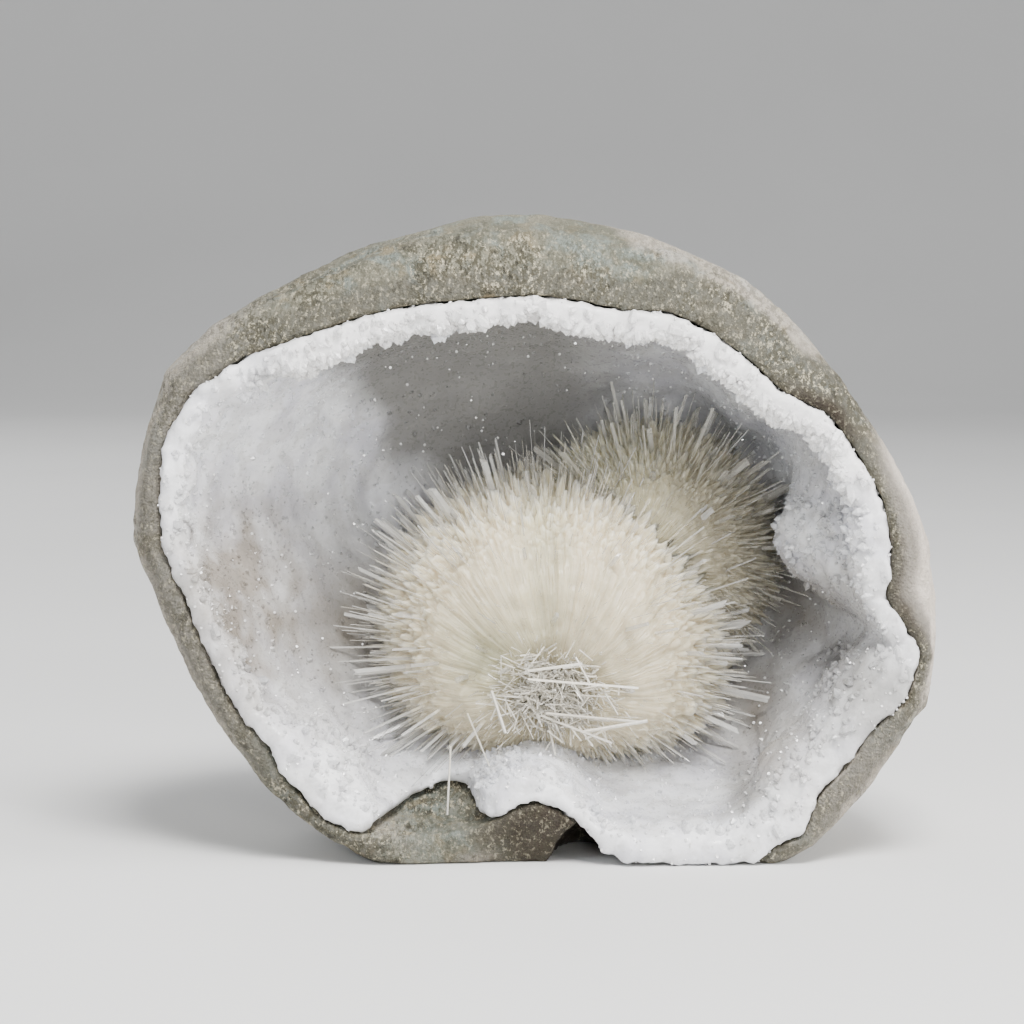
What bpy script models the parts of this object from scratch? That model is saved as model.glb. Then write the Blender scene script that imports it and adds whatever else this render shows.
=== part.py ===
"""Half of a basalt geode, standing on its ground foot: the stone shell, the drusy quartz
crust that lines its hollow, and the spray of scolecite needles grown in the hollow.

Metres, +Z up. The hollow opens towards -Y. The origin lies on the plane of the foot, under
the middle of the specimen."""

import math
import random

import bmesh
import bpy
from mathutils import Vector, noise
from mathutils.bvhtree import BVHTree

TURN = 2 * math.pi
QUARTER = math.pi / 2

# Driving dimensions. X runs across the opening, Y into the stone, Z up from the foot.
HUB = Vector((0.0, 0.0, 0.036))  # the middle of the opening, which angles are taken about
LEAN = math.radians(6)  # how far the opening leans back from upright
GIRTH_DEPTH = 0.013  # from the opening's edge back to the widest section
DEEPEST = Vector((0.005, 0.041, 0.038))  # the innermost point of the bare stone hollow
BACK = Vector((0.000, 0.054, 0.034))  # the rearmost point of the stone
CRUST_THICK = 0.0022  # quartz, from the stone to the roots of its crystals
GAP = 0.0004  # between the quartz and the stone
SEAT_GAP = 0.0009  # between the quartz and the scolecite that sits on it

# The widest section of the stone, anticlockwise from the right. It dips below the foot,
# where the stone is ground flat.
GIRTH_OUTLINE = (
    (0.0492, 0.0335), (0.0460, 0.0440), (0.0421, 0.0510), (0.0376, 0.0575),
    (0.0329, 0.0634), (0.0296, 0.0672), (0.0191, 0.0733), (0.0041, 0.0775),
    (-0.0019, 0.0784), (-0.0106, 0.0771), (-0.0197, 0.0744), (-0.0278, 0.0708),
    (-0.0360, 0.0666), (-0.0436, 0.0610), (-0.0460, 0.0572), (-0.0475, 0.0515),
    (-0.0491, 0.0379), (-0.0457, 0.0298), (-0.0416, 0.0207), (-0.0375, 0.0146),
    (-0.0328, 0.0085), (-0.0228, 0.0010), (-0.0160, -0.0032), (0.0050, -0.0052),
    (0.0230, -0.0042), (0.0338, 0.0016), (0.0404, 0.0074), (0.0428, 0.0116),
    (0.0474, 0.0179), (0.0488, 0.0257),
)  # fmt: skip

# The opening's edge, where stone meets quartz, anticlockwise from the right. It arches up
# over the hollow that is broken out of the foot.
RIM_OUTLINE = (
    (0.0428, 0.0365), (0.0415, 0.0440), (0.0384, 0.0494), (0.0340, 0.0548),
    (0.0306, 0.0557), (0.0279, 0.0582), (0.0221, 0.0630), (0.0164, 0.0660),
    (0.0105, 0.0662), (0.0009, 0.0680), (-0.0086, 0.0675), (-0.0193, 0.0660),
    (-0.0272, 0.0634), (-0.0328, 0.0617), (-0.0378, 0.0593), (-0.0421, 0.0556),
    (-0.0446, 0.0513), (-0.0452, 0.0442), (-0.0456, 0.0395), (-0.0441, 0.0360),
    (-0.0426, 0.0325), (-0.0402, 0.0266), (-0.0378, 0.0214), (-0.0349, 0.0168),
    (-0.0315, 0.0136), (-0.0304, 0.0106), (-0.0267, 0.0066), (-0.0239, 0.0042),
    (-0.0183, 0.0034), (-0.0107, 0.0040), (-0.0069, 0.0044), (-0.0028, 0.0067),
    (-0.0006, 0.0075), (0.0009, 0.0075), (0.0029, 0.0064), (0.0055, 0.0046),
    (0.0069, 0.0031), (0.0095, 0.0018), (0.0150, 0.0016), (0.0262, 0.0016),
    (0.0312, 0.0024), (0.0325, 0.0045),
    (0.0331, 0.0070), (0.0369, 0.0112), (0.0403, 0.0160), (0.0434, 0.0180),
    (0.0462, 0.0231), (0.0462, 0.0255), (0.0437, 0.0282), (0.0420, 0.0315),
)  # fmt: skip

# Flats ground on the stone: angle about Y, tilt to the back, distance from the middle.
GROUND_FLATS = (
    (38, 22, 0.0440), (66, 30, 0.0385), (104, 24, 0.0395), (140, 28, 0.0420),
    (172, 35, 0.0425), (214, 30, 0.0405), (322, 26, 0.0425), (2, 38, 0.0420),
    (90, 62, 0.0335), (250, 66, 0.0315), (20, 68, 0.0330),
)  # fmt: skip

# Rounded swellings of the quartz: angle about Y, share of the way in, radius, height.
CRUST_LUMPS = (
    (2, 0.27, 0.0076, 0.0090), (339, 0.10, 0.0064, 0.0052), (318, 0.08, 0.0068, 0.0056),
    (225, 0.11, 0.0062, 0.0034), (261, 0.15, 0.0046, 0.0016), (296, 0.26, 0.0090, 0.0020),
    (190, 0.18, 0.0058, 0.0020), (158, 0.30, 0.0125, 0.0044), (38, 0.22, 0.0060, 0.0016),
    (120, 0.62, 0.0080, 0.0018), (72, 0.55, 0.0075, 0.0016), (200, 0.55, 0.0080, 0.0018),
)  # fmt: skip
BARE_ANGLE = math.radians(247.5)  # the place at the foot where the crust has broken away
BARE_HALF_ANGLE = math.radians(10)
BARE_REACH = 0.27  # share of the way in that the bare place reaches

# The scolecite balls: middle, and reach of the longest needles.
FRONT_BALL = (Vector((0.0015, 0.0270, 0.0225)), 0.0255)
BACK_BALL = (Vector((0.0148, 0.0300, 0.0350)), 0.0190)
TUFT = (Vector((0.0022, 0.0115, 0.0185)), 0.0070)
CORE_SHARE = 0.74  # of a ball's reach is grown solid
TUFT_SHARE = 0.5  # of the tuft's reach is grown solid
CRATER = Vector((0.05, -1.0, -0.20)).normalized()  # where the front ball's needles are broken
CRATER_WIDTH = math.radians(30)
CRATER_SINK = 0.36
SPINE_BASE = 0.32  # of a core face's size
SPINE_TIP = 0.36  # of the spine's base
SPINE_CLEAR = 0.0011  # between a spine and the other scolecite
CRUST_CLEAR = 0.0018  # between a spine and the quartz
SPINE_SLOPE = 0.80  # the least that a core face may face along its spine

SEGMENTS = 52
HOLLOW_RINGS = 12
OUTER_RINGS = 10
BALL_DETAIL = 3
TUFT_DETAIL = 2
CRYSTAL_HEIGHT = (0.0007, 0.0017)


def polar(points):
    """The outline's points as sorted pairs of angle and radius about the hub."""
    found = []
    for x, z in points:
        across, up = x - HUB.x, z - HUB.z
        found.append((math.atan2(up, across) % TURN, math.hypot(across, up)))
    return sorted(found)


GIRTH = polar(GIRTH_OUTLINE)
RIM = polar(RIM_OUTLINE)


def radius_at(outline, angle):
    """The outline's radius at this angle, on a smooth closed curve through its points."""
    angle %= TURN
    count = len(outline)
    after = sum(1 for known, _ in outline if known <= angle)

    def knot(index):
        turns, place = divmod(index, count)
        return outline[place][0] + turns * TURN, outline[place][1]

    (a0, r0), (a1, r1), (a2, r2), (a3, r3) = (knot(after + step) for step in (-2, -1, 0, 1))
    t = (angle - a1) / (a2 - a1)
    slope_1 = (r2 - r0) / (a2 - a0) * (a2 - a1)
    slope_2 = (r3 - r1) / (a3 - a1) * (a2 - a1)
    blend = t * t * (3 - 2 * t)
    bend = t * (1 - t) * ((1 - t) * slope_1 - t * slope_2)
    return r1 + (r2 - r1) * blend + bend


def ripple(angle, share, scale, height):
    """A smooth, fixed unevenness over the turn and the way in."""
    place = Vector((math.cos(angle), math.sin(angle), share * 1.6)) * scale
    return noise.noise(place) * height


def opening_y(angle, height):
    """How far back the opening's edge lies, at this angle and height above the foot."""
    return height * math.tan(LEAN) + ripple(angle, 0.0, 3.1, 0.0016)


def hollow_point(angle, share, inset=0.0):
    """A point on the stone's hollow, from its edge at share 0 to its deepest point at 1.
    The left wall slopes gently, and the roof and the right wall go in steeply."""
    turn = share * QUARTER
    fullness = 0.84 - 0.25 * math.cos(angle) - 0.17 * math.sin(angle)
    reach = (radius_at(RIM, angle) - inset) * max(0.0, math.cos(turn)) ** fullness
    reach += ripple(angle, share, 2.3, 0.0016) * math.sin(2 * turn)
    depth = math.sin(turn)
    middle = HUB.lerp(DEEPEST, depth**1.5)
    height = middle.z + reach * math.sin(angle)
    edge = opening_y(angle, HUB.z + radius_at(RIM, angle) * math.sin(angle))
    back = edge * (1 - depth) + (DEEPEST.y - inset) * depth
    return Vector((middle.x + reach * math.cos(angle), back, height))


def rim_width(angle):
    """The width of the stone's broken edge between the quartz and the outer skin."""
    spare = radius_at(GIRTH, angle) - radius_at(RIM, angle)
    return min(0.0034, max(0.0008, 0.5 * spare))


def flattened(point):
    """The point, moved onto any ground flat that it would stand out of."""
    centre = Vector((HUB.x, 0.5 * BACK.y, HUB.z))
    for about, tilt, distance in GROUND_FLATS:
        about, tilt = math.radians(about), math.radians(tilt)
        across = Vector((math.cos(about), 0.0, math.sin(about)))
        facing = across * math.cos(tilt) + Vector((0.0, math.sin(tilt), 0.0))
        proud = (point - centre).dot(facing) - distance
        if proud > 0:
            point = point - facing * proud
    return point


def outer_point(angle, share):
    """A point on the stone's outside, from the rim's outer edge at 0 to the rear at 1."""
    girth_share = 0.24
    rim, girth = radius_at(RIM, angle) + rim_width(angle), radius_at(GIRTH, angle)
    edge = opening_y(angle, HUB.z + rim * math.sin(angle)) + 0.4 * rim_width(angle)
    widest = edge + GIRTH_DEPTH - 0.4 * rim_width(angle)
    if share < girth_share:
        turn = share / girth_share * QUARTER
        reach = rim + (girth - rim) * math.sin(turn)
        back = edge + (widest - edge) * (1 - math.cos(turn))
        middle = HUB
    else:
        turn = (share - girth_share) / (1 - girth_share) * QUARTER
        reach = girth * max(0.0, math.cos(turn)) ** 0.72
        back = widest + (BACK.y - widest) * math.sin(turn)
        middle = HUB.lerp(BACK, math.sin(turn) ** 1.5)
        reach += ripple(angle, share, 2.6, 0.0020) * math.sin(2 * turn)
    point = Vector((reach * math.cos(angle), back, reach * math.sin(angle)))
    point += Vector((middle.x, 0.0, middle.z))
    return flattened(point)


def rim_middle(angle):
    """A point half way across the stone's broken edge, a little rough."""
    inner, outer = hollow_point(angle, 0.0), outer_point(angle, 0.0)
    rough = Vector((0.0, ripple(angle, 0.0, 9.0, 0.0010) - 0.0002, 0.0))
    return (inner + outer) / 2 + rough


def crust_share(angle, share):
    """The share of the way in, counted from the crust's own edge. The edge lies deeper
    where a piece of crust has broken away."""
    off = (angle - BARE_ANGLE + math.pi) % TURN - math.pi
    arch = max(0.0, 1 - (off / BARE_HALF_ANGLE) ** 2)
    start = BARE_REACH * math.sqrt(arch)
    return start + (1 - start) * share


def lump_height(point):
    """How far the crust's swellings raise it at this point."""
    raised = 0.0
    for about, share, radius, height in CRUST_LUMPS:
        middle = hollow_point(math.radians(about), share)
        raised += height * math.exp(-((point - middle).length_squared) / radius**2)
    return raised


def crust_back(angle, share):
    """A point of the crust's back, against the stone."""
    return hollow_point(angle, crust_share(angle, share), GAP)


def crust_face(angle, share):
    """A point of the crust's open face, before its crystals are raised."""
    wall = crust_back(angle, share)
    inward = (Vector((0.002, 0.018, 0.037)) - wall).normalized()
    way = crust_share(angle, share)
    thick = CRUST_THICK + ripple(angle, way, 4.5, 0.0010) + lump_height(wall)
    return wall + inward * thick


def crust_lip(angle):
    """A point on the front of the crust's edge, proud of the stone."""
    middle = (crust_back(angle, 0.0) + crust_face(angle, 0.0)) / 2
    return middle + Vector((0.0, -0.0008 + ripple(angle, 0.0, 8.0, 0.0008), 0.0))


def ring(form, share):
    """The ring of a form at one share, as a function of the angle alone."""
    return lambda angle: form(angle, share)


def shares(count, skip_first=False):
    """Evenly spread shares from 0 to 1."""
    return [step / count for step in range(1 if skip_first else 0, count + 1)]


def ringed_mesh(rings):
    """A sphere whose rings, from its front pole to its back pole, are moved onto the given
    functions. Its segments lie closer together at the foot, where the detail is finer."""
    mesh = bmesh.new()
    last = len(rings) - 1
    bmesh.ops.create_uvsphere(mesh, u_segments=SEGMENTS, v_segments=last, radius=1.0)
    for vertex in mesh.verts:
        place = math.acos(max(-1.0, min(1.0, vertex.co.z))) / math.pi * last
        angle = math.atan2(vertex.co.y, vertex.co.x)
        vertex.co = rings[round(place)](angle - 0.35 * math.cos(angle))
    mesh.normal_update()
    return mesh


def finish(name, mesh, collection, colour=None, roughness=0.5):
    """The mesh as an object of this name, with a material of its own if it has a colour."""
    data = bpy.data.meshes.new(name)
    mesh.to_mesh(data)
    mesh.free()
    made = bpy.data.objects.new(name, data)
    collection.objects.link(made)
    if colour is None:
        made.hide_render = True
        made.display_type = "WIRE"
        return made
    material = bpy.data.materials.new(name)
    material.use_nodes = True
    shader = material.node_tree.nodes["Principled BSDF"]
    shader.inputs["Base Color"].default_value = (*colour, 1.0)
    shader.inputs["Roughness"].default_value = roughness
    shader.inputs["Metallic"].default_value = 0.0
    data.materials.append(material)
    return made


def combine(target, cutter, operation):
    """Adds an exact Boolean to the target."""
    modifier = target.modifiers.new(cutter.name, "BOOLEAN")
    modifier.operation = operation
    modifier.solver = "EXACT"
    modifier.object = cutter


def evaluated_mesh(made):
    """The object's mesh with its modifiers applied."""
    graph = bpy.context.evaluated_depsgraph_get()
    mesh = bmesh.new()
    mesh.from_object(made, graph)
    return mesh


def basalt_shell(parts, cutters):
    """The stone, ground flat at its foot, with a hollow broken out of the foot's front."""
    rings = [ring(hollow_point, share) for share in reversed(shares(HOLLOW_RINGS))]
    rings.append(rim_middle)
    rings += [ring(outer_point, share) for share in shares(OUTER_RINGS)]
    mesh = ringed_mesh(rings)
    everything = mesh.verts[:] + mesh.edges[:] + mesh.faces[:]
    cut = bmesh.ops.bisect_plane(
        mesh, geom=everything, plane_co=(0, 0, 0), plane_no=(0, 0, 1), clear_inner=True
    )
    edges = [item for item in cut["geom_cut"] if isinstance(item, bmesh.types.BMEdge)]
    bmesh.ops.edgeloop_fill(mesh, edges=edges)
    bmesh.ops.recalc_face_normals(mesh, faces=mesh.faces)
    stone = finish("basalt_shell", mesh, parts, colour=(0.26, 0.26, 0.22), roughness=0.85)
    combine(stone, foot_hollow(cutters), "DIFFERENCE")
    return stone


def foot_hollow(cutters):
    """The low arch broken out of the foot, deeper than it is wide."""
    mesh = bmesh.new()
    bmesh.ops.create_uvsphere(mesh, u_segments=20, v_segments=12, radius=1.0)
    middle = Vector((0.0058, -0.0010, -0.0012))
    radii = Vector((0.0044, 0.0180, 0.0062))
    for vertex in mesh.verts:
        vertex.co = middle + vertex.co * radii
    return finish("foot_hollow_cutter", mesh, cutters)


def near_spray(point, margin):
    """True where the scolecite sits on the crust, which is smooth under it."""
    for middle, reach in (FRONT_BALL, BACK_BALL):
        if (point - middle).length < CORE_SHARE * reach + margin:
            return True
    return False


def quartz_crust(parts):
    """The crust, with a quartz point raised on each patch of its open face."""
    rings = [ring(crust_face, share) for share in reversed(shares(HOLLOW_RINGS))]
    rings.append(crust_lip)
    rings += [ring(crust_back, share) for share in shares(HOLLOW_RINGS)]
    mesh = ringed_mesh(rings)
    front = Vector((DEEPEST.x, -0.020, DEEPEST.z))
    raised = []
    for face in mesh.faces:
        centre = face.calc_center_median()
        way = crust_share(math.atan2(centre.z - HUB.z, centre.x - HUB.x), 0.0)
        open_face = face.normal.dot(front - centre) > 0 and centre.y > 0.002
        if open_face and len(face.verts) == 4 and way == 0 and not near_spray(centre, 0.0045):
            raised.append(face)
    rand = random.Random(11)
    points = bmesh.ops.poke(mesh, faces=raised, offset=0.0, center_mode="MEAN")["verts"]
    for point in points:
        point.co += point.normal * rand.uniform(*CRYSTAL_HEIGHT)
    return finish("quartz_crust", mesh, parts, colour=(0.82, 0.82, 0.84), roughness=0.3)


def open_space(cutters):
    """The room that the crust leaves in the hollow, closed a little before the opening."""
    inside = Vector((0.002, 0.018, 0.037))

    def seat(angle, share):
        face = crust_face(angle, share)
        return face + (inside - face).normalized() * SEAT_GAP

    def before(angle):
        return seat(angle, 0.0) + Vector((0.0, -0.012, 0.0))

    rings = [lambda angle: Vector((HUB.x, -0.012, HUB.z)), before]
    rings += [ring(seat, share) for share in shares(HOLLOW_RINGS)]
    return finish("open_space_cutter", ringed_mesh(rings), cutters)


def crater_share(direction):
    """The share of the front ball's reach that is left, less where needles are broken."""
    off = direction.angle(CRATER) / CRATER_WIDTH
    return 1 - CRATER_SINK * math.exp(-(off**2))


def ball_core(name, ball, share, detail, cutters):
    """The solid heart of a needle ball, as a faceted sphere."""
    middle, reach = ball
    mesh = bmesh.new()
    bmesh.ops.create_icosphere(mesh, subdivisions=detail, radius=1.0)
    for vertex in mesh.verts:
        direction = vertex.co.normalized()
        left = crater_share(direction) if ball == FRONT_BALL else 1.0
        vertex.co = middle + direction * reach * share * left
    return finish(name, mesh, cutters)


def spine_end(face, rand):
    """Where a needle that grows from this face ends, or None for a face that is cut."""
    centre = face.calc_center_median()
    for ball, share in ((FRONT_BALL, CORE_SHARE), (BACK_BALL, CORE_SHARE), (TUFT, TUFT_SHARE)):
        middle, reach = ball
        direction = (centre - middle).normalized()
        left = crater_share(direction) if ball == FRONT_BALL else 1.0
        on_core = abs((centre - middle).length - reach * share * left) < 0.04 * reach
        if on_core and face.normal.dot(direction) > SPINE_SLOPE:
            return middle + direction * reach * left * rand.uniform(0.90, 1.0)
    return None


def is_clear(start, end, crust_tree, core_tree, tips):
    """True if a needle from start to end keeps its distance from what is around it."""
    way = end - start
    if core_tree.ray_cast(start + way * 0.05, way.normalized(), way.length)[0] is not None:
        return False
    if core_tree.find_nearest(end)[3] < SPINE_CLEAR:
        return False
    along = [start + way * share for share in (0.0, 0.25, 0.5, 0.75, 1.0)]
    if min(crust_tree.find_nearest(place)[3] for place in along) < CRUST_CLEAR:
        return False
    return all((end - tip).length > SPINE_CLEAR for tip in tips)


def raise_spines(mesh, crust_tree):
    """Raises a needle from each whole face of the cores that has room for one."""
    rand = random.Random(5)
    core_tree = BVHTree.FromBMesh(mesh)
    tips = []
    triangles = [face for face in mesh.faces if len(face.verts) == 3]
    planned = []
    for face in triangles:
        end = spine_end(face, rand)
        start = face.calc_center_median()
        if end is not None and is_clear(start, end, crust_tree, core_tree, tips):
            planned.append((face, end))
            tips.append(end)
    for face, end in planned:
        inward = 2 * face.calc_area() / face.calc_perimeter() * (1 - SPINE_BASE)
        bmesh.ops.inset_individual(mesh, faces=[face], thickness=inward)
        centre = face.calc_center_median()
        top = bmesh.ops.extrude_discrete_faces(mesh, faces=[face])["faces"][0]
        for vertex in top.verts:
            vertex.co = end + (vertex.co - centre) * SPINE_TIP


def scolecite_spray(parts, cutters, crust):
    """The two needle balls and the broken tuft, grown into one body on the crust."""
    front = ball_core("front_core", FRONT_BALL, CORE_SHARE, BALL_DETAIL, cutters)
    back = ball_core("back_core", BACK_BALL, CORE_SHARE, BALL_DETAIL, cutters)
    tuft = ball_core("tuft_core", TUFT, TUFT_SHARE, TUFT_DETAIL, cutters)
    combine(front, back, "UNION")
    combine(front, tuft, "UNION")
    combine(front, open_space(cutters), "INTERSECT")
    mesh = evaluated_mesh(front)
    bpy.data.objects.remove(front)
    bmesh.ops.remove_doubles(mesh, verts=mesh.verts, dist=0.00001)
    crust_tree = BVHTree.FromObject(crust, bpy.context.evaluated_depsgraph_get())
    raise_spines(mesh, crust_tree)
    colour = (0.78, 0.76, 0.68)
    return finish("scolecite_spray", mesh, parts, colour=colour, roughness=0.25)


def centre_over_origin(parts, cutters):
    """Moves the parts, and their cutters, to put the origin under the middle of the parts."""
    graph = bpy.context.evaluated_depsgraph_get()
    points = []
    for made in parts.objects:
        points += [vertex.co.copy() for vertex in made.evaluated_get(graph).data.vertices]
    across = [point.x for point in points]
    along = [point.y for point in points]
    middle = Vector((min(across) + max(across), min(along) + max(along), 0.0)) / 2
    for made in [*parts.objects, *cutters.objects]:
        made.location = -middle


def main():
    for existing in list(bpy.data.objects):
        bpy.data.objects.remove(existing)
    parts = bpy.data.collections.new("scolecite_quartz_geode")
    cutters = bpy.data.collections.new("cutters")
    for collection in (parts, cutters):
        bpy.context.scene.collection.children.link(collection)
    basalt_shell(parts, cutters)
    crust = quartz_crust(parts)
    bpy.context.view_layer.update()
    scolecite_spray(parts, cutters, crust)
    bpy.context.view_layer.update()
    centre_over_origin(parts, cutters)


main()
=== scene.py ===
"""The looks of the scolecite geode: weathered basalt, a drusy quartz lining and its crystals,
and the scolecite needles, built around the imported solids."""

import math

import bmesh
import bpy
import numpy as np
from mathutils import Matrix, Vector, noise
from mathutils.bvhtree import BVHTree


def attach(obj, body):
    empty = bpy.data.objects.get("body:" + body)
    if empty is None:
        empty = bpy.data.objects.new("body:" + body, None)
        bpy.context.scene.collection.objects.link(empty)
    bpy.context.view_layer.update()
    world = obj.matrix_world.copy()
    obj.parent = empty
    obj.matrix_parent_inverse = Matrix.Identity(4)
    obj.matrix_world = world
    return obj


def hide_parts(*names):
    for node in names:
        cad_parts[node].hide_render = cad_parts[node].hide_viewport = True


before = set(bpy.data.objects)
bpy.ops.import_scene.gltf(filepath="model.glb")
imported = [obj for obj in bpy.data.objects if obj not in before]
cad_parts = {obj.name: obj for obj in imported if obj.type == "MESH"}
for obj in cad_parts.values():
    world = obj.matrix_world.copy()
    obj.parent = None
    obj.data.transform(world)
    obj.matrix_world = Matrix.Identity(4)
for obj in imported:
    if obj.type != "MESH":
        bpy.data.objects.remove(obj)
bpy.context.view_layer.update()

MM = 0.001
TURN = 2 * math.pi

# Places in the hollow, in metres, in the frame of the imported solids.
HOLLOW = Vector((0.002, -0.009, 0.037))  # the middle of the open hollow
FRONT_BALL = (Vector((0.0014, 0.0002, 0.0225)), 0.0258)  # middle and reach of the needles
BACK_BALL = (Vector((0.0147, 0.0032, 0.0350)), 0.0192)
TUFT = Vector((0.0020, -0.0150, 0.0203))  # where the front ball's needles lie broken
CRATER = Vector((0.05, -1.0, -0.20)).normalized()  # from the front ball's middle to its crater
DIMPLE = Vector((-0.42, -0.90, 0.06)).normalized()  # the greenish dip on the crater's left
BACK_AIM = Vector((-0.25, -1.0, -0.1)).normalized()
FRONT_SIDE = Vector((-0.45, -0.60, -0.66)).normalized()  # from the back ball to the front one
FAN = Vector((-0.85, -0.35, -0.40)).normalized()  # where the front ball opens into loose needles
OPENING_FRONT = 25.5 * MM  # how far forward the plane of the opening stands at the foot
OPENING_LEAN = 0.105  # how far that plane leans back for each unit of height

BASALT_VOXEL = 0.65 * MM
QUARTZ_VOXEL = 0.56 * MM

# Spots of painted shade on the lining, in its recesses and beside the balls: x and height in mm,
# their half sizes, and a strength.
PAINTED_SHADE_SPOTS = (
    (-23, 27, 7, 12, 1.0), (-18, 17, 8, 8, 0.1), (34, 28.5, 8, 7, 0.75),
    (28, 16, 5, 8, 0.7), (26, 7, 3.5, 6, 0.75), (14, 9, 12, 6, 0.24), (-35, 24, 8, 8, 0.3),
)
DULL_LIP = (40.5, 20, 6, 6.5, 1.0)  # the grey lump of the lip, low on the right
BLOCKY_SPOTS = ((36, 38, 9, 7), (41, 19, 8, 7), (33, 7, 8, 8), (-27, 9, 9, 9), (-3, 9, 6, 5))

# How many crystals and needles there are.
WALL_POINTS = 4200  # on each half of the open lining
RIM_POINTS = 3400
GLINTS = 1000
FRONT_FUZZ, FRONT_LONG = 7000, 1700
BACK_FUZZ, BACK_LONG = 4500, 1100
TUFT_FANNED, TUFT_CROSSED = 1500, 480

CRYSTAL_SIDES = 6
NEEDLE_SIDES = 4
FUZZ_GIRTHS = (0.04 * MM, 0.11 * MM)  # least and most half width
LONG_GIRTHS = (0.055 * MM, 0.40 * MM)

# The rings of corners on a needle: how far along it, its girth there, and its growth there,
# which is 0 where it is milky and 1 where it is clear.
GLASSY_STATIONS = ((0.0, 1.05, 0.3), (0.55, 1.0, 0.7), (1.0, 0.9, 1.0))
FINE_STATIONS = ((0.0, 1.1, 0.3), (1.0, 0.85, 1.0))

# The ends of the long needles that have fallen across the crater, in mm.
FALLEN_NEEDLES = (
    ((-1.0, -20.5, 21.8), (12.4, -19.6, 20.6)), ((1.2, -20.4, 17.6), (12.8, -19.5, 16.4)),
    ((-5.4, -20.6, 20.4), (-3.7, -21.8, 15.4)), ((-8.3, -19.0, 17.4), (-5.6, -21.8, 11.4)),
    ((0.6, -19.5, 17.2), (9.2, -20.6, 14.0)), ((-10.3, -21.5, 13.8), (-10.7, -22.6, 5.6)),
    ((5.6, -19.5, 15.2), (13.5, -19.8, 16.6)), ((-1.0, -20.6, 22.8), (5.6, -20.0, 23.6)),
)

# The photograph's framing: the stone is 98 mm wide over 799 of 1024 pixels.
FRAME_WIDTH = 0.1256
CAMERA_AWAY = 0.42
CAMERA_RISE = math.radians(5)
AIM = Vector((-0.0029, -0.012, 0.0413))
SENSOR = 36.0
LIT_PLACE = Vector((0, 0, 0.035))
KEY_PLACE = (0.10, -0.36, 0.62)
FRONT_PLACE = (0.10, -0.80, 0.16)


def srgb(red, green, blue):
    """A display colour, 0 to 255, as the linear colour that shaders use."""
    def linear(value):
        value /= 255
        return value / 12.92 if value <= 0.04045 else ((value + 0.055) / 1.055) ** 2.4
    return (linear(red), linear(green), linear(blue), 1.0)


# Shader groups that several materials share

def new_group(name, output, **inputs):
    """An empty shader group, and its input and output sockets. Inputs have a default."""
    group = bpy.data.node_groups.new(name, "ShaderNodeTree")
    for label, value in inputs.items():
        socket = group.interface.new_socket(label, in_out="INPUT", socket_type="NodeSocketFloat")
        socket.default_value = value
    group.interface.new_socket(output, in_out="OUTPUT", socket_type="NodeSocketFloat")
    start = group.nodes.new("NodeGroupInput")
    end = group.nodes.new("NodeGroupOutput")
    return group, start.outputs, end.inputs[0]


def feed(tree, socket, value):
    """Links a socket to an output, or sets its value."""
    if isinstance(value, bpy.types.NodeSocket):
        tree.links.new(value, socket)
    else:
        socket.default_value = value


def object_place(tree):
    """The point on the object, in metres."""
    return tree.nodes.new("ShaderNodeTexCoord").outputs["Object"]


def noise_value(tree, scale, detail=3.0, rough=0.55, warp=0.0, place=None):
    """Smooth noise, from 0 to 1, over the object or over another place."""
    if place is None:
        place = object_place(tree)
    node = tree.nodes.new("ShaderNodeTexNoise")
    feed(tree, node.inputs["Vector"], place)
    feed(tree, node.inputs["Scale"], scale)
    feed(tree, node.inputs["Detail"], detail)
    feed(tree, node.inputs["Roughness"], rough)
    feed(tree, node.inputs["Distortion"], warp)
    return node.outputs[0]


def ramp(tree, value, low, high, bottom=0.0, top=1.0):
    """The value, stretched so that low gives bottom and high gives top, and clamped."""
    node = tree.nodes.new("ShaderNodeMapRange")
    node.interpolation_type = "SMOOTHSTEP"
    for socket, number in zip(node.inputs, (value, low, high, bottom, top)):
        feed(tree, socket, number)
    return node.outputs[0]


def arithmetic(tree, operation, first, second):
    """One arithmetic step on two values."""
    node = tree.nodes.new("ShaderNodeMath")
    node.operation = operation
    feed(tree, node.inputs[0], first)
    feed(tree, node.inputs[1], second)
    return node.outputs[0]


def product(tree, first, second):
    """Two values, multiplied."""
    return arithmetic(tree, "MULTIPLY", first, second)


def added(tree, first, second):
    """Two values, added."""
    return arithmetic(tree, "ADD", first, second)


def mixed(tree, share, first, second):
    """Two colours, mixed by a share."""
    node = tree.nodes.new("ShaderNodeMix")
    node.data_type = "RGBA"
    feed(tree, node.inputs[0], share)
    feed(tree, node.inputs[6], first)
    feed(tree, node.inputs[7], second)
    return node.outputs[2]


def tinted(tree, body, share, strength, colour):
    """A colour, drawn towards a display colour where the share is high."""
    return mixed(tree, product(tree, share, strength), body, srgb(*colour))


def clouds_group():
    """Soft patches of unlike size, as in stone or milky crystal."""
    group, given, mask = new_group("Mineral clouds", "Mask", scale=60.0, low=0.4, high=0.6)
    value = noise_value(group, given["scale"], detail=3.0, warp=0.5)
    feed(group, mask, ramp(group, value, given["low"], given["high"]))
    return group


def grains_group():
    """Small irregular mineral grains, drawn out along Y."""
    group, given, mask = new_group(
        "Mineral grains", "Mask", scale=1500.0, stretch=0.5, low=0.55, high=0.65
    )
    longer = group.nodes.new("ShaderNodeCombineXYZ")
    longer.inputs[0].default_value = 1.0
    longer.inputs[2].default_value = 0.8
    feed(group, longer.inputs[1], given["stretch"])
    drawn = group.nodes.new("ShaderNodeVectorMath")
    drawn.operation = "MULTIPLY"
    feed(group, drawn.inputs[0], object_place(group))
    feed(group, drawn.inputs[1], longer.outputs[0])
    place = drawn.outputs[0]
    value = noise_value(group, given["scale"], detail=4.0, rough=0.78, place=place)
    feed(group, mask, ramp(group, value, given["low"], given["high"]))
    return group


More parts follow.
